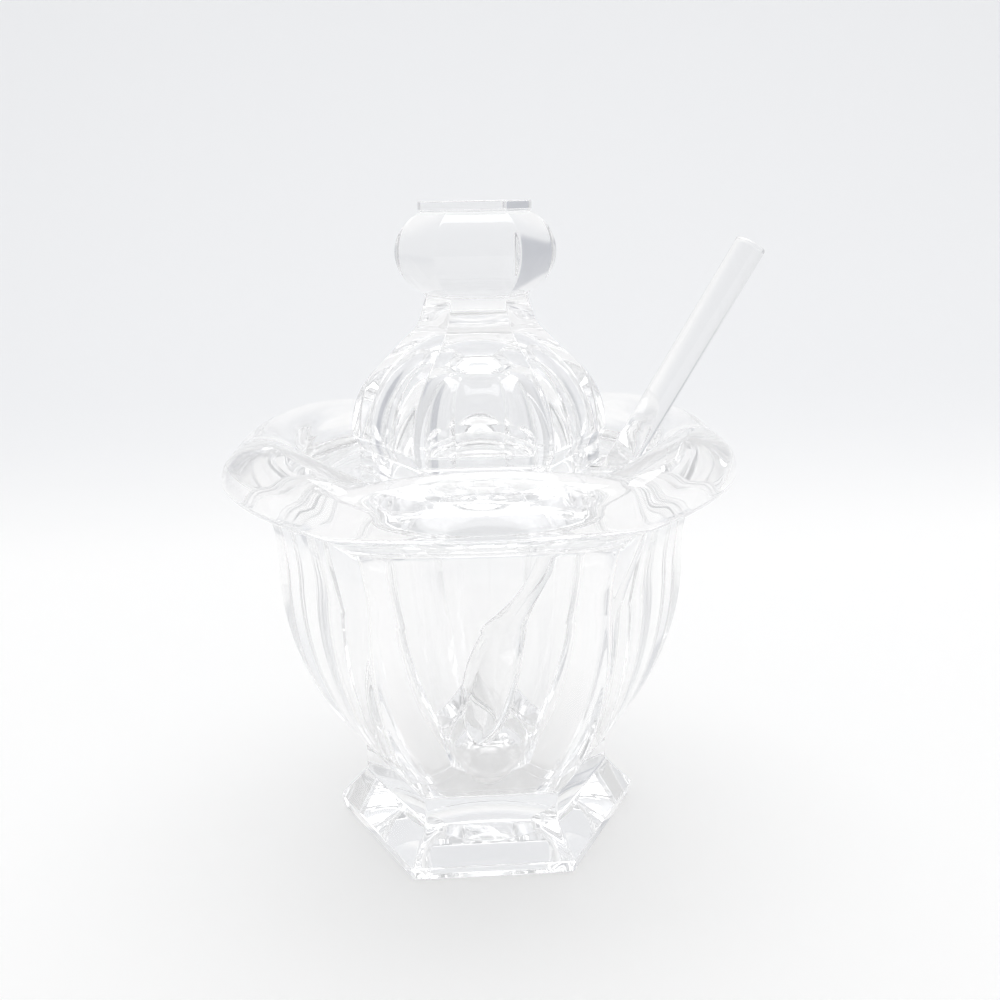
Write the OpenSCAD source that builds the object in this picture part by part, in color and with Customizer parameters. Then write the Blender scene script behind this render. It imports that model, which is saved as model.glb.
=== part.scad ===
// Covered jam pot in clear cut crystal: a six-sided pot on a foot, its domed lid and a glass spoon.
// Millimetres, +Z up. The origin is the middle of the foot's underside, and two of the pot's
// corners lie on the X axis. Widths called flats are measured between two opposite panels.

/* [Foot] */
// Width of the foot's underside across flats
foot_flats = 57.6; // [50:0.2:66]
// Width of the foot across flats at its outer edge
foot_edge_flats = 58.6; // [50:0.2:68]
// Height of the foot's outer edge
foot_edge_h = 3.2; // [1:0.1:5]
// Height where the foot's slope meets the stem
foot_h = 9.7; // [7:0.1:13]
// Width of the stem across flats
stem_flats = 47.8; // [42:0.2:54]
// Height of the waist, where the stem meets the bowl
waist_h = 16; // [14:0.1:18]
// Diameter of the round hollow ground under the foot
hollow_d = 34; // [20:0.5:42]
// Depth of the ground hollow
hollow_depth = 2.4; // [0.5:0.1:4]

/* [Bowl] */
// Width of the bowl across flats at its widest
body_flats = 76.4; // [74:0.2:79]
// Height where the panels stand upright
body_mid_h = 57; // [52:0.5:62]
// Height where the panels turn out towards the rim
flare_h = 64.5; // [62:0.5:67]
// Width across flats where the panels meet the rim
join_flats = 80; // [78.5:0.2:82]
// Height where the panels meet the rim
join_h = 74.4; // [72:0.2:75.6]
// Glass between the middle of a panel and the round inside
wall = 7; // [5:0.2:8]
// Height of the inside floor
floor_h = 16; // [15:0.1:23]
// Radius between the inside floor and the wall
floor_round = 3; // [2:0.5:10]

/* [Rim] */
// Diameter of the circle along the top of the rolled rim
crest_d = 87; // [85:0.2:90]
// Height of the rim at the middle of a panel
rim_h = 90.7; // [89:0.1:92.5]
// Radius of the roll outside the crest
lip_r = 9.3; // [8.6:0.1:10]
// Radius of the roll inside the crest
dish_r = 6; // [5:0.1:6.4]
// Height of the roll's lower edge
lip_low_h = 80.3; // [79:0.1:81]
// Rise of the rim's underside for each unit outwards
lip_rise = 0.5; // [0.42:0.01:0.56]
// How far the rim dips from the middle of a panel to a corner
corner_dip = 3; // [1:0.1:4]
// Diameter of the opening below the lid's seat
bore_d = 64.6; // [62:0.2:66]
// Height of the flat seat that carries the lid
seat_h = 77.5; // [76.5:0.1:78.5]

/* [Lid] */
// Room round the lid's flange
lid_gap = 0.6; // [0.3:0.1:1.2]
// Thickness of the flange
flange_t = 3.5; // [2.5:0.1:5]
// Rounding of the flange's top edge
flange_round = 1.2; // [0.4:0.1:2]
// Width of the lid above the flange, across flats
collar_flats = 44; // [40:0.2:45]
// Top of the collar above the seat
collar_h = 8; // [6:0.1:10]
// Width of the dome across flats at its widest
lid_flats = 46.2; // [45:0.2:49]
// Height of the widest place above the seat
lid_wide_h = 12; // [10.5:0.1:14]
// Radius of the dome's panels
dome_r = 18.5; // [16:0.1:20]
// Glass between the dome's panels and its round inside
lid_wall = 5.2; // [4:0.1:7]
// Width of the neck under the knob, across flats
neck_flats = 17.6; // [15:0.2:19]
// Height of the neck's foot above the seat
neck_low_h = 35; // [34:0.1:37]
// Width of the knob across flats at its widest
knob_flats = 28.2; // [25:0.2:31]
// Height of the knob's widest place above the seat
knob_h = 47.2; // [46.2:0.1:50]
// Radius of the knob's panels
knob_r = 9; // [8:0.1:9.6]
// Width of the flat disc on the knob, across flats
cap_flats = 19.6; // [18:0.2:21]
// Thickness of that disc
cap_t = 2; // [1:0.1:3]
// Distance that the disc stands out over the knob below it
cap_step = 0.4; // [0.1:0.1:1]

/* [Spoon] */
// Diameter of the spoon's rod
rod_d = 6.5; // [5.5:0.1:6.7]
// Lean of the rod from upright, in degrees
lean = 30; // [26:0.5:30.5]
// Length of the spoon
spoon_l = 126; // [100:1:135]
// Rounding of the rod's upper end
rod_round = 0.7; // [0.3:0.1:2]
// Length of the spoon's bowl
scoop_l = 36; // [28:0.5:38]
// Depth of the spoon's bowl outside
scoop_depth = 5; // [4:0.1:5.5]
// Radius across the spoon's bowl
scoop_r = 11.5; // [10:0.1:12]
// Thickness of the spoon's bowl
scoop_t = 1.8; // [1.2:0.1:2.4]
// Turn of the spoon's bowl from facing up towards the front, in degrees
spoon_turn = 60; // [0:1:70]
// Room between the spoon and the pot where they rest on each other
rest_gap = 0.3; // [0.25:0.05:0.6]
// Room between the rod and the lid's notch
notch_gap = 0.9; // [0.4:0.1:1.2]

/* [Hidden] */
$fn = 120;
crystal = [0.86, 0.9, 0.93, 0.45];

// Width of the fine ledges where a curved panel begins or ends
ledge = 0.2;

// Height kept for the flare below the rim: where it needs more, the rim and the lid's seat stand higher
flare_room = 6;
rim_up = max(0, flare_h + flare_room - join_h);
join_z = join_h + rim_up;
lip_low_z = lip_low_h + rim_up;
rim_z = rim_h + rim_up;
seat_z = seat_h + rim_up;

// Half widths of the pot, and the arc of its bowl panels from the waist up
foot_a = foot_flats / 2;
foot_edge_a = foot_edge_flats / 2;
stem_a = stem_flats / 2;
body_a = body_flats / 2;
join_a = join_flats / 2;
body_swell = body_a - stem_a - ledge;
body_r = (pow(body_swell, 2) + pow(body_mid_h - waist_h, 2)) / (2 * body_swell);
body_c = body_a - body_r;
flare_a = body_c + sqrt(pow(body_r, 2) - pow(flare_h - body_mid_h, 2));
flare_slope = (join_a - flare_a - ledge) / (join_z - flare_h);
foot_slope = (foot_edge_a - foot_a) / foot_edge_h;
// How far the three sections of the pot reach into each other
lap = 5;
hollow_r = (pow(hollow_d / 2, 2) + pow(hollow_depth, 2)) / (2 * hollow_depth);

// The inside of the bowl: the same arc less the wall, rounded into the floor
inner_r = body_r - wall;
inner_a = body_c + inner_r;
round_z = floor_h + floor_round;
round_x = body_c + sqrt(pow(inner_r - floor_round, 2) - pow(body_mid_h - round_z, 2));
round_turn = atan2(round_z - body_mid_h, round_x - body_c);
meet_x = body_c + inner_r * cos(round_turn);
meet_z = body_mid_h + inner_r * sin(round_turn);
bore_r = bore_d / 2;

// The rolled rim: one arc outside the crest and a smaller one inside it
crest_r = crest_d / 2;
roll_z = rim_z - lip_r;
dish_z = rim_z - dish_r;
mouth_r = crest_r - dish_r;
lip_a = crest_r + sqrt(pow(lip_r, 2) - pow(roll_z - lip_low_z, 2));
corner_r = join_a / cos(30) + 0.4;
far = crest_r + 2 * lip_r;
// The arches stand a little over the crest, so that it stays round at the middle of a panel
arch_lift = 0.15;
arch_t = (crest_r + lip_r / 3) * sin(30);
arch_r = (pow(arch_t, 2) + pow(corner_dip + arch_lift, 2)) / (2 * (corner_dip + arch_lift));

// The lid, measured up from the seat
flange_r = mouth_r - lid_gap;
collar_a = collar_flats / 2;
lid_a = lid_flats / 2;
lid_blank = lid_a / cos(30) + 2;
dome_c = lid_a - dome_r;
neck_a = neck_flats / 2;
neck_reach = norm([neck_a - dome_c, neck_low_h - lid_wide_h]);
neck_turn = atan2(neck_low_h - lid_wide_h, neck_a - dome_c) - acos(dome_r / neck_reach);
shoulder_a = dome_c + dome_r * cos(neck_turn);
shoulder_h = lid_wide_h + dome_r * sin(neck_turn);
cavity_r = dome_r - lid_wall;
knob_a = knob_flats / 2;
knob_c = knob_a - knob_r;
neck_top_h = knob_h - sqrt(pow(knob_r, 2) - pow(neck_a - knob_c, 2));
cap_a = cap_flats / 2;
cap_low_h = knob_h + sqrt(pow(knob_r, 2) - pow(cap_a - cap_step - knob_c, 2));
lid_h = cap_low_h + cap_t;

// The spoon's bowl: a slice of an olive, whose axis runs beside the rod's
rod_r = rod_d / 2;
slice_h = scoop_r - scoop_depth;
olive_r = (pow(scoop_l / 2, 2) + pow(scoop_depth, 2)) / (2 * scoop_depth);
olive_c = olive_r - scoop_r;
olive_v = slice_h + 1;
function olive_at(w) = sqrt(pow(olive_r, 2) - pow(w - scoop_l / 2, 2)) - olive_c;
// Height of a point of the spoon over its lower end: u across the bowl, v towards its open side
// and w along the rod
function rise(u, v, w) = w * cos(lean) - (u * sin(spoon_turn) - v * cos(spoon_turn)) * sin(lean);
scoop_steps = [for (i = [0:60]) i / 60 * scoop_l];
edge_low = min([for (w = scoop_steps) rise(sqrt(max(0, pow(olive_at(w), 2) - pow(slice_h, 2))), 1, w)]);
back_low = min([for (w = scoop_steps) rise(0, olive_v - olive_at(w), w)]);
// The side of the back that the turn brings lowest, where the slice keeps it
function side_v(w) = min(1, olive_v - olive_at(w) * cos(spoon_turn));
function side_u(w) = sqrt(max(0, pow(olive_at(w), 2) - pow(olive_v - side_v(w), 2)));
side_low = min([for (w = scoop_steps) rise(side_u(w), side_v(w), w)]);
// The rod rests against the edge of the seat or the roll of the rim, whichever stands further in, and
// the spoon's lowest point rests on the floor
rod_off = (rod_r + rest_gap) / cos(lean);
roll_off = dish_r / cos(lean) + (dish_z - seat_z) * tan(lean);
rod_x = min(bore_r, crest_r - roll_off) - rod_off;
spoon_z = floor_h + rest_gap - min(edge_low, back_low, side_low);
spoon_x = rod_x - (seat_z - spoon_z) * tan(lean);
notch_w = rod_d + 2 * notch_gap;
notch_x = rod_x - rod_r / cos(lean) - notch_gap;
// The notch is as tall as the flange, or taller where the rod would meet the lid's side
notch_h = max(flange_t + notch_gap, (lid_a / cos(30) - rod_x + rod_off) / tan(lean));

// Six equal panels: the part of a side view that is ground away, taken off all six sides
module six_cuts(span) {
    for (k = [0:5])
        rotate([0, 0, 30 + 60 * k])
            rotate([90, 0, 0])
                linear_extrude(height = span, center = true) children();
}

// The foot and the stem, which reaches up into the bowl
module foot_part() {
    difference() {
        cylinder(r = far, h = waist_h + lap);
        six_cuts(4 * far)
            polygon([[foot_a - foot_slope, -1], [foot_edge_a, foot_edge_h], [stem_a, foot_h],
                [stem_a, waist_h + lap + 1], [2 * far, waist_h + lap + 1], [2 * far, -1]]);
    }
}

// One panel of the bowl, as the round bar that it is a part of
module bowl_panel(k) {
    rotate([0, 0, 30 + 60 * k])
        translate([body_c, 0, body_mid_h])
            rotate([90, 0, 0])
                cylinder(r = body_r, h = 4 * far, center = true);
}

// The bowl: what all six panels have in common, from the stem to inside the rim
module bowl_part() {
    intersection() {
        translate([0, 0, waist_h]) cylinder(r = far, h = flare_h - waist_h + lap);
        bowl_panel(0);
        bowl_panel(1);
        bowl_panel(2);
        bowl_panel(3);
        bowl_panel(4);
        bowl_panel(5);
    }
}

// The rim: a round blank with a rolled lip, its underside and its lower sides cut to six panels
module rim_part() {
    difference() {
        rotate_extrude() {
            polygon([[0, flare_h], [corner_r, flare_h], [corner_r, join_z], [lip_a, lip_low_z],
                [crest_r, lip_low_z], [crest_r, rim_z], [0, rim_z]]);
            intersection() {
                translate([crest_r, roll_z]) circle(lip_r);
                translate([crest_r, lip_low_z]) square([2 * lip_r, 2 * lip_r]);
            }
        }
        six_cuts(4 * far)
            polygon([[flare_a + ledge - flare_slope, flare_h - 1], [join_a, join_z],
                [2 * far, join_z + (2 * far - join_a) * lip_rise], [2 * far, flare_h - 1]]);
    }
}

// What is cut off the rim's top, so that it stands as an arch over every panel and dips at the corners
module rim_dips() {
    difference() {
        rotate_extrude()
            translate([mouth_r - 1, roll_z]) square([far - mouth_r, lip_r + 3]);
        for (k = [0:2])
            rotate([0, 0, 60 * k])
                translate([0, 0, rim_z + arch_lift - arch_r])
                    rotate([90, 0, 0])
                        cylinder(r = arch_r, h = 4 * far, center = true);
    }
}

// The round inside: rounded floor, arc wall, seat for the lid, mouth and the inner side of the roll
module bowl_void() {
    rotate_extrude() {
        polygon([[0, floor_h], [round_x, floor_h], [round_x, round_z], [meet_x, meet_z], [0, meet_z]]);
        intersection() {
            translate([round_x, round_z]) circle(floor_round);
            polygon([[round_x, round_z], [round_x, round_z - 2 * floor_round],
                [round_x + 2 * floor_round, round_z - 2 * floor_round],
                [round_x + 3 * floor_round * cos(round_turn), round_z + 3 * floor_round * sin(round_turn)]]);
        }
        intersection() {
            translate([body_c, body_mid_h]) circle(inner_r);
            translate([0, meet_z]) square([2 * body_a, body_mid_h - meet_z]);
        }
        polygon([[0, body_mid_h], [inner_a, body_mid_h], [bore_r, seat_z], [0, seat_z]]);
        translate([0, seat_z]) square([mouth_r, dish_z - seat_z]);
        difference() {
            translate([0, dish_z]) square([crest_r, dish_r + 1]);
            translate([crest_r, dish_z]) circle(dish_r);
        }
    }
}

// The pot: foot, stem, bowl and rim are one piece of crystal
module pot() {
    color(crystal)
        difference() {
            union() {
                foot_part();
                bowl_part();
                rim_part();
            }
            rim_dips();
            bowl_void();
            translate([0, 0, hollow_depth - hollow_r]) sphere(hollow_r);
        }
}

// The lid's collar, which reaches up into the dome
module collar_part() {
    difference() {
        cylinder(r = lid_blank, h = lid_wide_h + lap);
        six_cuts(6 * lid_a)
            polygon([[collar_a, -1], [collar_a, collar_h], [lid_a - ledge, lid_wide_h + ledge],
                [lid_a - 2 * lap, lid_wide_h + 2 * lap], [far, lid_wide_h + 2 * lap], [far, -1]]);
    }
}

// The lid's dome, from its widest place to its shoulder
module dome_part() {
    difference() {
        translate([0, 0, lid_wide_h]) cylinder(r = lid_blank, h = shoulder_h - lid_wide_h);
        six_cuts(6 * lid_a)
            difference() {
                translate([dome_c, lid_wide_h - 1]) square([far, shoulder_h - lid_wide_h + 2]);
                translate([dome_c, lid_wide_h]) circle(dome_r);
            }
    }
}

// What is ground away beside the neck, the knob and its flat disc
module knob_side() {
    polygon([[shoulder_a - 2 * lap, shoulder_h - 2 * lap], [shoulder_a - ledge, shoulder_h - ledge],
        [neck_a, neck_low_h], [neck_a, neck_top_h], [far, neck_top_h], [far, shoulder_h - 2 * lap]]);
    difference() {
        translate([knob_c, neck_top_h]) square([far, cap_low_h - neck_top_h]);
        translate([knob_c, knob_h]) circle(knob_r);
    }
    polygon([[cap_a - cap_step, cap_low_h], [cap_a, cap_low_h + cap_step], [cap_a, lid_h + 1], [far, lid_h + 1],
        [far, cap_low_h]]);
}

// The slope from the shoulder to the neck, and the knob, which reach down into the dome
module knob_part() {
    difference() {
        translate([0, 0, shoulder_h - lap]) cylinder(r = lid_blank, h = lid_h - shoulder_h + lap);
        six_cuts(6 * lid_a) knob_side();
    }
}

// The lid's round flange, with its top edge softened
module flange() {
    rotate_extrude() {
        polygon([[0, 0], [flange_r, 0], [flange_r, flange_t - flange_round],
            [flange_r - flange_round, flange_t - flange_round], [flange_r - flange_round, flange_t],
            [0, flange_t]]);
        intersection() {
            translate([flange_r - flange_round, flange_t - flange_round]) circle(flange_round);
            translate([flange_r - flange_round, flange_t - flange_round]) square(2 * flange_round);
        }
    }
}

// The round hollow of the lid, open below
module lid_void() {
    rotate_extrude() {
        translate([0, -1]) square([dome_c + cavity_r, lid_wide_h + 1]);
        translate([0, lid_wide_h]) square([dome_c, cavity_r]);
        intersection() {
            translate([dome_c, lid_wide_h]) circle(cavity_r);
            translate([dome_c, lid_wide_h]) square(2 * cavity_r);
        }
    }
}

// The lid: dome, knob and flange are one piece, hollow below, with a notch for the spoon
module lid() {
    color(crystal)
        translate([0, 0, seat_z])
            difference() {
                union() {
                    collar_part();
                    dome_part();
                    knob_part();
                    flange();
                }
                lid_void();
                translate([notch_x, -notch_w / 2, -1]) cube([far, notch_w, notch_h + 1]);
            }
}

// One olive shape beside the rod, smaller by inset all over
module olive(inset) {
    translate([0, olive_v, scoop_l / 2])
        rotate_extrude()
            intersection() {
                translate([-olive_c, 0]) circle(olive_r - inset);
                translate([0, -olive_r]) square([2 * scoop_r, 2 * olive_r]);
            }
}

// The rod: round at its lower end, where it runs into the bowl, and ground flat at the top
module rod() {
    translate([0, 0, scoop_l - rod_r])
        rotate_extrude() {
            intersection() {
                translate([0, rod_r]) circle(rod_r);
                square([2 * rod_r, rod_r]);
            }
            translate([0, rod_r]) square([rod_r, spoon_l - scoop_l - rod_round]);
            translate([0, spoon_l - scoop_l + rod_r - rod_round]) square([rod_r - rod_round, rod_round]);
            intersection() {
                translate([rod_r - rod_round, spoon_l - scoop_l + rod_r - rod_round]) circle(rod_round);
                translate([rod_r - rod_round, spoon_l - scoop_l + rod_r - rod_round]) square(2 * rod_round);
            }
        }
}

// The spoon: a straight rod with a small bowl, drawn from one piece of glass
module spoon() {
    color(crystal)
        translate([spoon_x, 0, spoon_z])
            rotate([0, lean, 0])
                rotate([0, 0, 90 + spoon_turn])
                    difference() {
                        union() {
                            intersection() {
                                olive(0);
                                translate([-2 * scoop_r, 1 - 2 * scoop_depth, -scoop_l])
                                    cube([4 * scoop_r, 2 * scoop_depth, 3 * scoop_l]);
                            }
                            rod();
                        }
                        olive(scoop_t);
                    }
}

pot();
lid();
spoon();
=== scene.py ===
"""Looks of a covered jam pot in clear cut crystal: six-sided pot, domed lid and glass spoon."""

import math

import bmesh
import bpy
import numpy as np
from bpy.props import FloatProperty, FloatVectorProperty, PointerProperty
from mathutils import Matrix, Vector


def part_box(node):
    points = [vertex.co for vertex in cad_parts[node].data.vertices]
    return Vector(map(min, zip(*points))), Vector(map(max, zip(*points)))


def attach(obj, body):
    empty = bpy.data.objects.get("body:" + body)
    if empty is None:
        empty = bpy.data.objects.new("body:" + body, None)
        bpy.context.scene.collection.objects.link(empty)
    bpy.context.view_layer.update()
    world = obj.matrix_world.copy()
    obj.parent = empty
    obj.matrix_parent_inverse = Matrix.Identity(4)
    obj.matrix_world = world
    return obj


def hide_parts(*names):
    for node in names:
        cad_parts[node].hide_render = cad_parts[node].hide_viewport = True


bl_info = {
    "name": "Jam pot",
    "version": (1, 0, 0),
    "blender": (4, 5, 0),
    "location": "View3D > Sidebar > Jam pot",
    "description": "Builds a covered crystal jam pot with its lid and spoon",
    "category": "Add Mesh",
}

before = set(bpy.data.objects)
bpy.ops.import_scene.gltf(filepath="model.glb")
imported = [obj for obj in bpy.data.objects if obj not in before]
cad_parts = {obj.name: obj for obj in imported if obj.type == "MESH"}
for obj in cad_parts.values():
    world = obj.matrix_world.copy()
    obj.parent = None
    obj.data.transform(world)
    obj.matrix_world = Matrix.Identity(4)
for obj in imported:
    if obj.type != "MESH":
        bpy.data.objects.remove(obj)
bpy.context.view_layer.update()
MM = 0.001
FLAT_TO_CORNER = 1 / math.cos(math.radians(30))

# Sizes of the glass are in millimetres. Radii of six-sided forms are to the middle of a panel.

# A breath of air between two smooth faces that rest on each other
AIR = 0.05
# Height of the seat in the pot's mouth, where the lid of the frame stands, and of the lid's own underside
SEAT = round(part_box("lid")[0].z / MM, 2)
LID_FOOT = SEAT + AIR
# Height of the pot's inside floor, and the radius of its mouth
FLOOR, MOUTH = 16.0, 37.5
# Round hollow ground under the foot, a slice of a ball: depth, radius of its edge, radius of the ball
HOLLOW, HOLLOW_EDGE, HOLLOW_BALL = 2.4, 16.6, 61.4
# Radii between which the foot's underside goes from round to six-sided
ROUND_TO, SIDED_FROM = 17, 26
# The panels' arc in side view, and the heights where the stem ends, the arc starts and the arc ends
BOWL_CENTRE, BOWL_RADIUS = (-27.72, 57.0), 65.92
STEM_TOP, WAIST, SHOULDER = 17.2, 17.4, 60.0
# The arc of the bowl's inside wall, and the centre and radius of its turn into the floor
INSIDE_CENTRE, INSIDE_RADIUS = (-28.46, 57.0), 59.66
FLOOR_TURN_R, FLOOR_TURN = 13.56, 3.0
# Side views of the rolled rim, from under the roll, over its top and into the mouth: where it arches over
# the middle of a panel, and where it creases at a corner
RIM_MID = [
    (40.15, 74.5), (40.6, 74.72), (44, 76.4), (48.2, 78.5), (51.3, 80.05), (52.55, 81.05), (52.75, 82.4),
    (51.55, 86.05), (48.83, 89.02), (45.9, 90.38), (43.5, 90.7), (40.5, 89.9), (38.3, 87.7), (MOUTH, 84.7)]
RIM_CORNER = [
    (46.25, 74.5), (46.5, 74.75), (47.9, 76.5), (50.4, 78.3), (52.9, 79.5), (53.9, 80.3), (53.8, 81.5),
    (52.8, 83.2), (50.6, 85.6), (48.9, 87.0), (46.9, 87.7), (43.0, 87.5), (39.6, 86.2), (MOUTH, 83.6)]
# Rows over which the panels' sharp edges soften into the rim's creases
CREASE_ROWS = 14

# Heights and places on the lid are from its own underside: radius and top of its hollow, the rounding of the
# hollow's dome, and the lid's whole height
LID_HOLLOW, LID_HOLLOW_TOP, LID_HOLLOW_ROUND, LID_TOP = 17.9, 25.3, 15.9, 57.1
# The flange's radius, how far from the axis the notch for the spoon ends, and the notch's half width
FLANGE, NOTCH_END, NOTCH_HALF = 36.9, 23.6, 4.15
# The flange's rounded edge: inset and height, from its underside to its top
FLANGE_EDGE = [(0.45, 0), (0.2, 0.08), (0.06, 0.2), (0, 0.45), (0, 1.2), (0, 2.3), (0.12, 2.75),
               (0.36, 3.1), (0.75, 3.38), (1.2, 3.5)]
FLANGE_TOP = FLANGE_EDGE[-1][1]
# Turns of the mesh columns, in degrees from the notch's middle: end of its bottom, end of its sides, and
# where the columns are back at their own angles
BOTTOM_TURN, MOUTH_TURN, EVEN_TURN = 9.5, 21, 40
# Radii where the flange's underside starts and where the collar stands on its top, and how far the collar's
# corners are cut back there
UNDERSIDE, COLLAR, COLLAR_CUT = 18.6, 22.6, 0.6
# Half width of the stretch where the collar is held back behind the notch, and by how much
HELD_HALF, HELD_BACK = 5, 1.3
# The lid's cut edges are softer than the pot's by this factor
LID_SOFTER = 1.2

# The spoon: radius of its rod, soft edge of its upper end, and length
ROD, ROD_EDGE, SPOON_LENGTH = 3.25, 0.7, 126.0
# Where its lower end lies, its lean out of the pot and its turn about its own rod, in degrees
SPOON_FOOT, SPOON_LEAN, SPOON_TURN = (-7.03, 0, 16.47), 30, 60
# Sections of the spoon: place along the rod, half width, then the heights of its underside, its edge
# and its upper side, and the steepness of the edge
SPOON_SECTIONS = [
    (0, 0.0, 1.0, 1.0, 1.0, 0.0), (0.5, 2.4, 0.0, 1.0, 1.3, 0.7), (1.5, 4.1, -0.9, 1.0, 0.9, 1.1),
    (3.5, 6.0, -2.1, 1.0, -0.1, 1.4), (8, 8.4, -3.4, 1.0, -1.6, 1.5), (13, 9.35, -3.95, 1.0, -2.15, 1.5),
    (18, 9.3, -4.0, 1.0, -2.2, 1.5), (23, 8.3, -3.95, 1.0, -1.8, 1.5), (27, 7.0, -3.85, 0.95, -0.6, 1.6),
    (31, 5.7, -3.7, 0.75, 1.2, 2.0), (35, 4.7, -3.5, 0.45, 2.4, 2.5), (40, 3.8, -3.35, 0.15, 3.05, 3.0),
    (45, 3.4, -3.27, 0.03, 3.22, 3.22), (50, 3.25, -3.25, 0.0, 3.25, 3.25)]
# Part of a section's height, from its edge up, over which the lip turns into the hollow of the bowl
LIP_START, LIP_RUN = 0.1, 0.62

# Slow waves that polishing leaves: how many go round, radians for each millimetre of height, and start
WAVES = ((7, 0.21, 0), (11, -0.33, 1.3), (2, 0.47, 0))
# Radius inside which the waves fade towards the axis
CALM = 6

# The stage is in metres. The paper: half width, front end and top, then start and radius of its turn up
PAPER_HALF, PAPER_FRONT, PAPER_TOP = 2.2, -1.6, 1.6
BEND_START, BEND_RADIUS = 0.2, 0.3
# Where the floor's colour ends and the backdrop's is full, going back
FLOOR_END, WALL_START = 0.16, 0.36
# Share of the paper's own colour that shows whatever light falls on it
PAPER_GLOW = 0.6
# Painted reflections, a grey patch low on each side of the backdrop that every ray but the camera's sees, so
# the glass shows dark cards that are not there: start, full, full and end going across, and the height where
# they fade
LEFT_PAINTED_REFLECTION, RIGHT_PAINTED_REFLECTION = (-0.75, -0.6, -0.3, -0.25), (0.46, 0.62, 0.75, 0.9)
PAINTED_REFLECTION_FULL, PAINTED_REFLECTION_END = 0.32, 0.4
# The room's brightness behind the camera and behind the pot, as glass shows it, and as it lights the pot
ROOM_FRONT, ROOM_BACK, ROOM_LIGHT = 0.54, 0.985, 0.6
# The overhead lamp: size, place, and tilt in degrees
LAMP_SIZE, LAMP_PLACE, LAMP_TILT = (1.1, 0.8), (0.05, 0.22, 1.0), (-12, 3)
# The camera, from the corners of foot, waist, rim and knob: turn round the pot, place in millimetres, tilt
# down and roll, in degrees
CAMERA_TURN, CAMERA_PLACE, CAMERA_TILT, CAMERA_ROLL = -2.97, (4.03, -208.0, 133.9), 16.315, -0.96
# Light crosses many glass faces one after another here
BOUNCES = 64


def linear(text, alpha=1.0):
    """Linear colour from an sRGB hex value."""
    parts = [int(text[i : i + 2], 16) / 255 for i in (1, 3, 5)]
    parts = [c / 12.92 if c <= 0.04045 else ((c + 0.055) / 1.055) ** 2.4 for c in parts]
    return (*parts, alpha)


def add_node(tree, kind, inputs=None, **settings):
    """Adds a node, sets its settings, and gives each named input a value or a link."""
    node = tree.nodes.new(kind)
    for key, value in settings.items():
        setattr(node, key, value)
    for key, value in (inputs or {}).items():
        if isinstance(value, bpy.types.NodeSocket):
            tree.links.new(value, node.inputs[key])
        else:
            node.inputs[key].default_value = value
    return node


class CrystalSettings(bpy.types.PropertyGroup):
    """Finish of the glass."""

    crystal: FloatVectorProperty(
        name="Crystal", description="Colour of the pot and the lid", subtype="COLOR", size=4,
        min=0, max=1, default=linear("#fdfdfd"))
    rod: FloatVectorProperty(
        name="Spoon glass", description="Colour of the spoon", subtype="COLOR", size=4,
        min=0, max=1, default=linear("#fcfcfc"))
    wave: FloatProperty(
        name="Polish wave", description="Height of the slow waves that polishing leaves",
        subtype="DISTANCE", unit="LENGTH", default=0.006 * MM, min=0, max=0.2 * MM)


class FormSettings(bpy.types.PropertyGroup):
    """Softness of the cut edges."""

    panel_edge: FloatProperty(
        name="Panel edges", description="Half angle over which two panels run into each other",
        subtype="ANGLE", unit="ROTATION", default=math.radians(0.45), min=0.001, max=0.1)
    rim_crease: FloatProperty(
        name="Rim creases", description="Half angle of the soft creases in the rolled rim",
        subtype="ANGLE", unit="ROTATION", default=math.radians(1.6), min=0.001, max=0.1)


class StageSettings(bpy.types.PropertyGroup):
    """Floor, backdrop, light and camera."""

    floor: FloatVectorProperty(
        name="Floor", description="Colour of the paper that the pot stands on", subtype="COLOR",
        size=4, min=0, max=1, default=linear("#fdfdfd"))
    wall: FloatVectorProperty(
        name="Backdrop", description="Colour of the paper behind the pot", subtype="COLOR", size=4,
        min=0, max=1, default=linear("#f0f1f3"))
    # Painted reflections: greys on the backdrop that every ray but the camera's sees, to darken edges in the
    # glass
    left_painted_reflection: FloatVectorProperty(
        name="Left patch", description="Grey that the glass shows from the backdrop's left side",
        subtype="COLOR", size=4, min=0, max=1, default=linear("#c8cad0"))
    right_painted_reflection: FloatVectorProperty(
        name="Right patch", description="Grey that the glass shows from the backdrop's right side",
        subtype="COLOR", size=4, min=0, max=1, default=linear("#dcdee1"))
    lamp: FloatProperty(
        name="Lamp", description="Power of the soft light overhead", unit="POWER", default=6.0,
        min=0, max=100)
    lens: FloatProperty(
        name="Lens", description="Focal length on a 36 mm sensor", unit="CAMERA", default=36.4,
        min=10, max=200)


# Angles of the mesh columns between two corners, in degrees: close together at the cut edges
STEPS = [0, 0.2, 0.45, 0.8, 1.3, 2.2, 4, 6.5, 9.5, 13, 17, 21, 25.5]
SECTOR = STEPS + [30] + [60 - s for s in reversed(STEPS[1:])]
TURN = np.array([60 * k + s for k in range(6) for s in SECTOR])
FROM_CORNER = np.minimum(TURN % 60, 60 - TURN % 60)
ROUND = np.stack([np.cos(np.radians(TURN)), np.sin(np.radians(TURN))], axis=1)


def cornered(soft):
    """0 at the middle of a panel and 1 at a corner, as a flat panel's distance goes, softened."""
    off = np.radians(30) - np.sqrt(np.radians(FROM_CORNER) ** 2 + soft**2)
    return (1 / np.cos(off) - 1) / (FLAT_TO_CORNER - 1)


def spaced(points, step):
    """The same line with more points, closest near its own points."""
    out = [points[0]]
    for a, b in zip(points, points[1:]):
        n = max(1, math.ceil(np.linalg.norm(b - a) / step))
        n = n + 2 if n > 1 else n
        out += [a + (b - a) * (0.5 - 0.5 * math.cos(math.pi * k / n)) for k in range(1, n + 1)]
    return out


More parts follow.
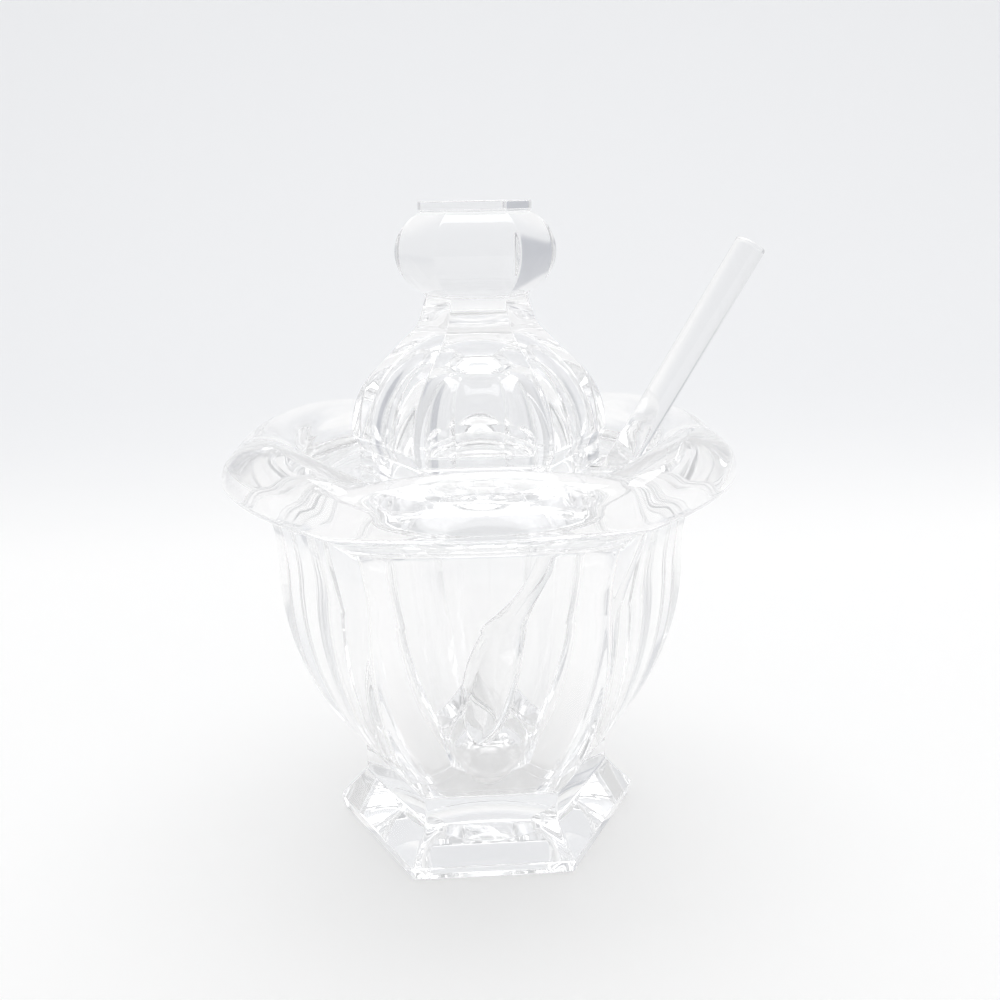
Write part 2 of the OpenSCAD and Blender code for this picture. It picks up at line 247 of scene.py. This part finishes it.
def profile(corners, step):
    """A side view through (r, z, rounding) corners, with points no further apart than a step."""
    points = []
    for i, (r, z, rounding) in enumerate(corners):
        here = np.array((r, z), float)
        if rounding == 0 or i in (0, len(corners) - 1):
            points.append(here)
            continue
        a = np.array(corners[i - 1][:2]) - here
        b = np.array(corners[i + 1][:2]) - here
        la, lb = np.linalg.norm(a), np.linalg.norm(b)
        a, b = a / la, b / lb
        half = math.acos(max(-1, min(1, a @ b))) / 2
        cut = min(rounding / math.tan(half), 0.45 * la, 0.45 * lb)
        way = (a + b) / np.linalg.norm(a + b)
        centre = here + way * cut / math.cos(half)
        start, end = here + a * cut - centre, here + b * cut - centre
        sweep = math.pi - 2 * half
        n = max(3, math.ceil(sweep / 0.3))
        for t in np.arange(n + 1) / n:
            p = start * math.sin((1 - t) * sweep) + end * math.sin(t * sweep)
            points.append(centre + p / math.sin(sweep))
    return spaced(points, step)


def arc(centre, radius, first, last, count):
    """Points of an arc between two angles in degrees."""
    turns = np.radians(np.linspace(first, last, count))
    return [np.array(centre) + radius * np.array((math.cos(t), math.sin(t))) for t in turns]


def curve(points, parts):
    """A smooth line through the given points."""
    p = [np.array(q, float) for q in points]
    p = [2 * p[0] - p[1], *p, 2 * p[-1] - p[-2]]
    out = []
    for a, b, c, d in zip(p, p[1:], p[2:], p[3:]):
        for t in np.arange(parts) / parts:
            out.append(0.5 * (2 * b + (c - a) * t + (2 * a - 5 * b + 4 * c - d) * t**2
                              + (3 * b - a - 3 * c + d) * t**3))
    return out + [p[-2]]


def level(points, z):
    """A row of points at one height."""
    return np.column_stack([points, np.full(len(points), z)])


def round_ring(r, z):
    """A round row of points at one height."""
    return level(ROUND * r, z)


def ring(mid, corner, soft):
    """One row of points round the axis: mid is (r, z) at a panel's middle, corner at a corner."""
    share = cornered(soft)
    r = mid[0] + (corner[0] - mid[0]) * share
    z = mid[1] + (corner[1] - mid[1]) * share
    return np.column_stack([ROUND * r[:, None], z])


def six_sided_ring(r, z, soft):
    """A six-sided row of points at one height."""
    return ring((r, z), (r * FLAT_TO_CORNER, z), soft)


def polish_waves(rows, height):
    """Pushes the rows along the radius in slow waves, about 13 to 35 mm long."""
    for row in rows:
        turn = np.arctan2(row[:, 1], row[:, 0])
        push = sum(np.sin(count * turn + rise * row[:, 2] + start) for count, rise, start in WAVES)
        r = np.hypot(row[:, 0], row[:, 1])
        row[:, :2] *= (1 + height / MM * push / len(WAVES) / np.maximum(r, CALM))[:, None]
    return rows


def glass_mesh(name, start, rows, end):
    """One closed skin from a start point through rings to an end point, in millimetres."""
    n = len(rows[0])
    points = np.vstack([start, *rows, end]) * MM
    faces = []
    last = len(points) - 1
    for j in range(n):
        k = (j + 1) % n
        faces.append((0, 1 + k, 1 + j))
        for i in range(len(rows) - 1):
            a, b = 1 + i * n, 1 + (i + 1) * n
            faces.append((a + j, a + k, b + k, b + j))
        a = 1 + (len(rows) - 1) * n
        faces.append((a + j, a + k, last))
    mesh = bpy.data.meshes.new(name)
    mesh.from_pydata([tuple(p) for p in points], [], faces)
    work = bmesh.new()
    work.from_mesh(mesh)
    bmesh.ops.recalc_face_normals(work, faces=work.faces)
    for face in work.faces:
        face.smooth = True
    work.to_mesh(mesh)
    work.free()
    piece = bpy.data.objects.new(name, mesh)
    bpy.context.scene.collection.objects.link(piece)
    # Broad faces rule the shading, so the panels read flat and only their edges roll
    weighted = piece.modifiers.new("panel shading", "WEIGHTED_NORMAL")
    weighted.weight = 50
    return piece


def crystal_material(name, colour, wave_mm, haze_mm=3.5, lift_mm=0.004):
    """Lead crystal, cut and polished, or drawn glass: clear, with brighter edges than window glass, a
    faint slow wave in its reflections and a breath of haze where polishing was lighter."""
    mat = bpy.data.materials.new(name)
    mat.use_nodes = True
    tree = mat.node_tree
    tree.nodes.clear()
    place = add_node(tree, "ShaderNodeTexCoord").outputs["Object"]
    slow = add_node(tree, "ShaderNodeTexNoise",
                    {"Vector": place, "Scale": 1 / (wave_mm * MM), "Detail": 1.0})
    fine = add_node(tree, "ShaderNodeTexNoise",
                    {"Vector": place, "Scale": 1 / (haze_mm * MM), "Detail": 2.0})
    haze = add_node(tree, "ShaderNodeMapRange",
                    {"Value": fine.outputs["Fac"], "From Min": 0.6, "From Max": 0.85, "To Min": 0.0,
                     "To Max": 0.012})
    bump = add_node(tree, "ShaderNodeBump",
                    {"Height": slow.outputs["Fac"], "Strength": 1.0, "Distance": lift_mm * MM})
    glass = add_node(tree, "ShaderNodeBsdfPrincipled", {
        "Base Color": colour, "Roughness": haze.outputs["Result"], "IOR": 1.545,
        "Transmission Weight": 1.0, "Normal": bump.outputs["Normal"]})
    add_node(tree, "ShaderNodeOutputMaterial", {"Surface": glass.outputs["BSDF"]})
    return mat


def foot_rows(edge):
    """Rings of the hollow under the foot, the foot and the stem."""
    rows = []
    for r in (*np.arange(2.5, HOLLOW_EDGE, 2.5), HOLLOW_EDGE):
        rows.append(round_ring(r, math.sqrt(HOLLOW_BALL**2 - r**2) - HOLLOW_BALL + HOLLOW))
    side = profile([(HOLLOW_EDGE, 0.12, 0), (17.1, 0, 0.4), (28.8, 0, 0.7), (29.3, 3.2, 0.5),
                    (23.9, 9.7, 0.9), (23.9, 16.0, 0.6), (27.2, 20.6, 0)], 2.5)[1:]
    for r, z in side:
        if z > STEM_TOP:
            break
        share = min(1, max(0, (r - ROUND_TO) / (SIDED_FROM - ROUND_TO))) if z < 0.4 else 1
        rows.append(ring((r, z), (r * (1 + (FLAT_TO_CORNER - 1) * share), z), edge))
    return rows


def bowl_rows(edge):
    """Rings of the six panels: true arcs, then a gentle turn out to the rim."""
    low, high = [math.degrees(math.asin((z - BOWL_CENTRE[1]) / BOWL_RADIUS)) for z in (WAIST, SHOULDER)]
    side = arc(BOWL_CENTRE, BOWL_RADIUS, low, high, 26)
    a, b, c = side[-1], np.array((37.9, 65.07)), np.array((39.1, 70.4))
    side += [a * (1 - t) ** 2 + 2 * b * t * (1 - t) + c * t**2 for t in np.linspace(0, 1, 9)[1:]]
    side += [(39.55, 72.4), (39.85, 73.75), (39.96, 74.2)]
    return [six_sided_ring(r, z, edge) for r, z in side]


def rim_rows(edge, crease):
    """Rings of the rolled rim: an arch over each panel, soft creases at the corners."""
    rows = []
    for i, (mid, corner) in enumerate(zip(curve(RIM_MID, 4), curve(RIM_CORNER, 4))):
        rows.append(ring(mid, corner, edge + (crease - edge) * min(1, i / CREASE_ROWS)))
    return rows


def inside_rows():
    """Rings of the mouth, the seat, the inside wall and the rounded floor, all of them round."""
    turn_centre = (FLOOR_TURN_R, FLOOR + FLOOR_TURN)
    meet = math.degrees(math.atan2(turn_centre[1] - INSIDE_CENTRE[1], turn_centre[0] - INSIDE_CENTRE[0]))
    side = profile([(MOUTH, 83.0, 0), (MOUTH, SEAT, 0.7), (32.3, SEAT, 0.6), (31.2, 57.0, 0)], 2.5)
    side += arc(INSIDE_CENTRE, INSIDE_RADIUS, 0, meet, 20)[1:]
    side += arc(turn_centre, FLOOR_TURN, meet, -90, 12)[1:]
    side += [(r, FLOOR) for r in (10.5, 7, 3.5)]
    return [round_ring(r, z) for r, z in side]


def pot_rows(form):
    """Rings of the pot from under the foot, up the outside, over the rim and down the inside."""
    edge = form.panel_edge
    return foot_rows(edge) + bowl_rows(edge) + rim_rows(edge, form.rim_crease) + inside_rows()


class JAMPOT_OT_pot(bpy.types.Operator):
    """Makes the pot: foot, stem, bowl and rolled rim in one piece of crystal"""

    bl_idname = "jampot.pot"
    bl_label = "Pot"

    def execute(self, context):
        look = context.scene.jam_pot_crystal
        rows = polish_waves(pot_rows(context.scene.jam_pot_form), look.wave)
        piece = glass_mesh("crystal_pot", [(0, 0, HOLLOW)], rows, [(0, 0, FLOOR)])
        piece.data.materials.append(crystal_material("lead_crystal_pot", look.crystal, wave_mm=14))
        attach(piece, "pot")
        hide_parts("pot")
        return {"FINISHED"}


def hollow_rows():
    """Rings of the lid's round hollow: a dome over a straight wall."""
    flat, spring = LID_HOLLOW - LID_HOLLOW_ROUND, LID_HOLLOW_TOP - LID_HOLLOW_ROUND
    side = [(r, LID_HOLLOW_TOP) for r in (0.7, 1.3)]
    side += arc((flat, spring), LID_HOLLOW_ROUND, 90, 0, 20)
    side += profile([(LID_HOLLOW, spring, 0), (LID_HOLLOW, 0, 0.6), (21, 0, 0)], 3)[1:-1]
    return [round_ring(r, z + LID_FOOT) for r, z in side]


def flange_outline():
    """The flange's edge seen from above, with the notch, one point for each mesh column."""
    mouth = math.degrees(math.asin(NOTCH_HALF / FLANGE))
    reach = FLANGE * math.cos(math.radians(mouth))
    out = []
    for turn in TURN:
        off = (turn + 180) % 360 - 180
        side, off = (1 if off >= 0 else -1), abs(off)
        if off <= BOTTOM_TURN:
            x, y = NOTCH_END, NOTCH_HALF * off / BOTTOM_TURN
        elif off <= MOUTH_TURN:
            share = (off - BOTTOM_TURN) / (MOUTH_TURN - BOTTOM_TURN)
            x, y = NOTCH_END + (reach - NOTCH_END) * share, NOTCH_HALF
        else:
            if off < EVEN_TURN:
                off = mouth + (off - MOUTH_TURN) * (EVEN_TURN - mouth) / (EVEN_TURN - MOUTH_TURN)
            x, y = FLANGE * math.cos(math.radians(off)), FLANGE * math.sin(math.radians(off))
        out.append((x, side * y))
    return np.array(out)


def flange_rows(edge):
    """Rings of the flange with its notch: underside, edge and top."""
    outline = flange_outline()
    step = np.roll(outline, -1, axis=0) - np.roll(outline, 1, axis=0)
    inward = np.column_stack([-step[:, 1], step[:, 0]]) / np.linalg.norm(step, axis=1)[:, None]
    lower, upper = [outline + inward * FLANGE_EDGE[end][0] for end in (0, -1)]
    inner = ROUND * UNDERSIDE
    collar = ring((COLLAR, 0), (COLLAR * FLAT_TO_CORNER - COLLAR_CUT, 0), edge)[:, :2]
    held = np.abs(collar[:, 1]) < HELD_HALF
    collar[held, 0] = np.minimum(collar[held, 0], NOTCH_END - HELD_BACK)
    rows = [level(inner + (lower - inner) * share, LID_FOOT) for share in (0.2, 0.45, 0.7, 0.9)]
    rows += [level(outline + inward * inset, LID_FOOT + z) for inset, z in FLANGE_EDGE]
    rows += [level(upper + (collar - upper) * share, LID_FOOT + FLANGE_TOP)
             for share in (0.12, 0.35, 0.6, 0.85)]
    return rows


def dome_rows(edge):
    """Rings of the collar, the dome and its slope, the neck, the knob and the flat disc on top."""
    side = profile([(24.5, FLANGE_TOP, 0), (22.0, FLANGE_TOP, 0.6), (22.0, 8.0, 1.5), (23.1, 12.0, 0)], 2)
    # The two ends of that line only give its roundings their directions
    side = [p for p in side if p[0] < 22.5]
    side += arc((4.6, 12.0), 18.5, -6, 42.1, 18)
    side += profile([(18.3, 24.45, 0), (10.6, 33.0, 5), (8.9, 38.9, 0.5), (9.9, 39.6, 0)], 2)[1:-1]
    side += arc((5.1, 47.2), 9.0, -64, 59, 22)
    side += profile([(9.5, 55.1, 0), (9.8, 55.5, 0.15), (9.8, LID_TOP, 0.35), (7, LID_TOP, 0)], 1.2)
    side += [(r, LID_TOP) for r in (4.5, 2)]
    return [six_sided_ring(r, z + LID_FOOT, edge * LID_SOFTER) for r, z in side]


def lid_rows(form):
    """Rings of the lid from the top of its hollow, under the flange and up the outside."""
    return hollow_rows() + flange_rows(form.panel_edge) + dome_rows(form.panel_edge)


class JAMPOT_OT_lid(bpy.types.Operator):
    """Makes the lid: flange with a notch, hollow dome and solid knob in one piece of crystal"""

    bl_idname = "jampot.lid"
    bl_label = "Lid"

    def execute(self, context):
        look = context.scene.jam_pot_crystal
        rows = polish_waves(lid_rows(context.scene.jam_pot_form), look.wave)
        start, end = [(0, 0, LID_FOOT + LID_HOLLOW_TOP)], [(0, 0, LID_FOOT + LID_TOP)]
        piece = glass_mesh("crystal_lid", start, rows, end)
        piece.data.materials.append(crystal_material("lead_crystal_lid", look.crystal, wave_mm=11))
        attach(piece, "lid")
        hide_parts("lid")
        return {"FINISHED"}


def spoon_rows():
    """Rings of the spoon along its own rod, from the tip of its bowl to the upper end."""
    turn = np.linspace(0, 2 * math.pi, 72, endpoint=False)
    around = np.column_stack([np.cos(turn), np.sin(turn)])
    across, up = around.T
    inner = np.clip((up - LIP_START) / LIP_RUN, 0, 1)
    inner = inner * inner * (3 - 2 * inner)
    rows = []
    for w, half, low, edge, top, lip in curve(SPOON_SECTIONS, 4)[1:]:
        above = edge + lip * up + (top - edge - lip) * inner
        v = np.where(up < 0, edge + (edge - low) * up, above)
        rows.append(level(np.column_stack([half * across, v]), w))
    rows += [level(ROD * around, w) for w in (60, 72, 84, 96, 108, 118, 123.5)]
    # The upper end: ground flat, with a soft edge
    for tip in np.radians(np.linspace(0, 90, 7)):
        r = ROD - ROD_EDGE * (1 - math.cos(tip))
        rows.append(level(r * around, SPOON_LENGTH - ROD_EDGE * (1 - math.sin(tip))))
    rows += [level(r * around, SPOON_LENGTH) for r in (1.8, 0.9)]
    return rows


class JAMPOT_OT_spoon(bpy.types.Operator):
    """Makes the spoon: a drawn glass rod with a small pressed bowl"""

    bl_idname = "jampot.spoon"
    bl_label = "Spoon"

    def execute(self, context):
        look = context.scene.jam_pot_crystal
        tip = [(0, SPOON_SECTIONS[0][3], 0)]
        piece = glass_mesh("glass_spoon", tip, spoon_rows(), [(0, 0, SPOON_LENGTH)])
        lean = Matrix.Rotation(math.radians(SPOON_LEAN), 4, "Y")
        turn = Matrix.Rotation(math.radians(90 + SPOON_TURN), 4, "Z")
        piece.data.transform(Matrix.Translation(Vector(SPOON_FOOT) * MM) @ lean @ turn)
        piece.data.materials.append(crystal_material("drawn_glass_rod", look.rod, wave_mm=9))
        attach(piece, "spoon")
        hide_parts("spoon")
        return {"FINISHED"}


def seen_rays(tree):
    """1 for rays that show a surface to the eye, directly, in a reflection or through glass."""
    path = add_node(tree, "ShaderNodeLightPath").outputs
    seen = add_node(tree, "ShaderNodeMath", {0: path["Is Camera Ray"], 1: path["Is Glossy Ray"]},
                    operation="ADD")
    seen = add_node(tree, "ShaderNodeMath", {0: seen.outputs[0], 1: path["Is Transmission Ray"]},
                    operation="ADD", use_clamp=True)
    return seen.outputs[0]


def backdrop_tone(tree, place, look):
    """The backdrop's colour, with painted reflections: a grey patch low at each side, standing in for the
    dark cards beside glass in a studio.
    The camera doesn't see them; the glass shows them, and they draw its dark edges."""
    across = add_node(tree, "ShaderNodeMapRange",
                      {"Value": place.outputs["X"], "From Min": -1.0, "From Max": 1.0})
    painted_reflections = add_node(tree, "ShaderNodeValToRGB", {"Fac": across.outputs["Result"]})
    painted_reflections.color_ramp.interpolation = "EASE"
    stops = painted_reflections.color_ramp.elements
    stops.remove(stops[1])
    stops[0].position, stops[0].color = 0.0, look.wall
    for places, grey in ((LEFT_PAINTED_REFLECTION, look.left_painted_reflection), (RIGHT_PAINTED_REFLECTION, look.right_painted_reflection)):
        for x, tone in zip(places, (look.wall, grey, grey, look.wall)):
            stops.new((x + 1) / 2).color = tone
    low = add_node(tree, "ShaderNodeMapRange",
                   {"Value": place.outputs["Z"], "From Min": PAINTED_REFLECTION_END, "From Max": PAINTED_REFLECTION_FULL},
                   interpolation_type="SMOOTHSTEP")
    # Painted reflection: the grey patch is hidden from the camera and shown to every other ray
    direct = add_node(tree, "ShaderNodeLightPath").outputs["Is Camera Ray"]
    shown = add_node(tree, "ShaderNodeMath", {0: low.outputs["Result"], 1: direct}, operation="SUBTRACT",
                     use_clamp=True)
    tone = add_node(tree, "ShaderNodeMix", {0: shown.outputs[0], 6: look.wall, 7: painted_reflections.outputs["Color"]},
                    data_type="RGBA")
    return tone.outputs[2]


def paper_material(look):
    """Matt white paper sweep: it shows as its own colour to the eye and in the glass, and keeps the
    soft shadow of the pot."""
    mat = bpy.data.materials.new("matt_paper_sweep")
    mat.use_nodes = True
    tree = mat.node_tree
    tree.nodes.clear()
    place = add_node(tree, "ShaderNodeSeparateXYZ",
                     {"Vector": add_node(tree, "ShaderNodeNewGeometry").outputs["Position"]})
    back = add_node(tree, "ShaderNodeMapRange",
                    {"Value": place.outputs["Y"], "From Min": FLOOR_END, "From Max": WALL_START},
                    interpolation_type="SMOOTHSTEP")
    tone = add_node(tree, "ShaderNodeMix",
                    {0: back.outputs["Result"], 6: look.floor, 7: backdrop_tone(tree, place, look)},
                    data_type="RGBA")
    colour = tone.outputs[2]
    share = add_node(tree, "ShaderNodeMath", {0: seen_rays(tree), 1: PAPER_GLOW}, operation="MULTIPLY")
    paper = add_node(tree, "ShaderNodeBsdfDiffuse", {"Color": colour})
    shine = add_node(tree, "ShaderNodeEmission", {"Color": colour, "Strength": 1.0})
    both = add_node(tree, "ShaderNodeMixShader",
                    {0: share.outputs[0], 1: paper.outputs[0], 2: shine.outputs[0]})
    add_node(tree, "ShaderNodeOutputMaterial", {"Surface": both.outputs[0]})
    return mat


def paper_sweep(context, look):
    """The paper: flat under the pot, then a gentle turn up to the wall."""
    line = [(y, 0) for y in (PAPER_FRONT, -0.6, 0, 0.12, BEND_START)]
    for t in np.linspace(0, math.pi / 2, 14)[1:]:
        line.append((BEND_START + BEND_RADIUS * math.sin(t), BEND_RADIUS - BEND_RADIUS * math.cos(t)))
    line += [(BEND_START + BEND_RADIUS, z) for z in (0.9, PAPER_TOP)]
    points, faces = [], []
    for i, (y, z) in enumerate(line):
        points += [(x, y, z - AIR * MM) for x in (-PAPER_HALF, PAPER_HALF)]
        if i:
            faces.append((2 * i - 2, 2 * i - 1, 2 * i + 1, 2 * i))
    mesh = bpy.data.meshes.new("paper_sweep")
    mesh.from_pydata(points, [], faces)
    for face in mesh.polygons:
        face.use_smooth = True
    mesh.materials.append(paper_material(look))
    sweep = bpy.data.objects.new("paper_sweep", mesh)
    context.scene.collection.objects.link(sweep)


def studio_world(context):
    """A pale room: even light on the pot, and a greyer side behind the camera in its reflections."""
    world = bpy.data.worlds.new("pale_room")
    world.use_nodes = True
    tree = world.node_tree
    tree.nodes.clear()
    way = add_node(tree, "ShaderNodeSeparateXYZ",
                   {"Vector": add_node(tree, "ShaderNodeTexCoord").outputs["Generated"]})
    front = add_node(tree, "ShaderNodeMapRange",
                     {"Value": way.outputs["Y"], "From Min": -0.95, "From Max": 0.2,
                      "To Min": ROOM_FRONT, "To Max": ROOM_BACK},
                     interpolation_type="SMOOTHSTEP")
    light = add_node(tree, "ShaderNodeBackground", {"Color": linear("#ffffff"), "Strength": ROOM_LIGHT})
    room = add_node(tree, "ShaderNodeBackground",
                    {"Color": linear("#f9fafc"), "Strength": front.outputs["Result"]})
    both = add_node(tree, "ShaderNodeMixShader",
                    {0: seen_rays(tree), 1: light.outputs[0], 2: room.outputs[0]})
    add_node(tree, "ShaderNodeOutputWorld", {"Surface": both.outputs[0]})
    context.scene.world = world


def overhead_light(context, look):
    """One broad soft light overhead."""
    lamp = bpy.data.lights.new("overhead", "AREA")
    lamp.shape, lamp.energy = "RECTANGLE", look.lamp
    lamp.size, lamp.size_y = LAMP_SIZE
    light = bpy.data.objects.new("overhead", lamp)
    light.location = LAMP_PLACE
    light.rotation_euler = (*[math.radians(tilt) for tilt in LAMP_TILT], 0)
    context.scene.collection.objects.link(light)


def photo_camera(context, look):
    """The camera at the photograph's place."""
    cam = bpy.data.cameras.new("camera")
    cam.sensor_width, cam.lens, cam.clip_start = 36.0, look.lens, 0.01
    eye = bpy.data.objects.new("camera", cam)
    eye.matrix_world = (
        Matrix.Rotation(math.radians(CAMERA_TURN), 4, "Z")
        @ Matrix.Translation(Vector(CAMERA_PLACE) * MM)
        @ Matrix.Rotation(math.radians(90 - CAMERA_TILT), 4, "X")
        @ Matrix.Rotation(math.radians(CAMERA_ROLL), 4, "Z"))
    context.scene.collection.objects.link(eye)
    context.scene.camera = eye


class JAMPOT_OT_stage(bpy.types.Operator):
    """Makes the paper sweep, the soft light and the camera"""

    bl_idname = "jampot.stage"
    bl_label = "Stage"

    def execute(self, context):
        look = context.scene.jam_pot_stage
        paper_sweep(context, look)
        studio_world(context)
        overhead_light(context, look)
        photo_camera(context, look)
        context.scene.view_settings.view_transform = "Standard"
        context.scene.cycles.max_bounces = BOUNCES
        context.scene.cycles.transmission_bounces = BOUNCES
        context.scene.cycles.glossy_bounces = BOUNCES
        return {"FINISHED"}


class JAMPOT_PT_panel(bpy.types.Panel):
    """Sizes, colours and steps of the jam pot"""

    bl_label = "Jam pot"
    bl_space_type = "VIEW_3D"
    bl_region_type = "UI"
    bl_category = "Jam pot"

    def draw(self, context):
        for group in SETTINGS:
            box = self.layout.box()
            settings = getattr(context.scene, "jam_pot_" + group)
            for name in settings.__annotations__:
                box.prop(settings, name)
        for step in OPERATORS:
            self.layout.operator(step.bl_idname)


OPERATORS = (JAMPOT_OT_pot, JAMPOT_OT_lid, JAMPOT_OT_spoon, JAMPOT_OT_stage)
SETTINGS = {"crystal": CrystalSettings, "form": FormSettings, "stage": StageSettings}


def register():
    """Registers the settings, the steps and the panel."""
    for cls in (*SETTINGS.values(), *OPERATORS, JAMPOT_PT_panel):
        bpy.utils.register_class(cls)
    for name, cls in SETTINGS.items():
        setattr(bpy.types.Scene, "jam_pot_" + name, PointerProperty(type=cls))


def unregister():
    """Takes out what register put in."""
    for name in SETTINGS:
        delattr(bpy.types.Scene, "jam_pot_" + name)
    for cls in (JAMPOT_PT_panel, *OPERATORS, *SETTINGS.values()):
        bpy.utils.unregister_class(cls)


def main():
    """Makes the pieces and the stage."""
    register()
    bpy.ops.jampot.pot()
    bpy.ops.jampot.lid()
    bpy.ops.jampot.spoon()
    bpy.ops.jampot.stage()


if __name__ == "__main__":
    main()
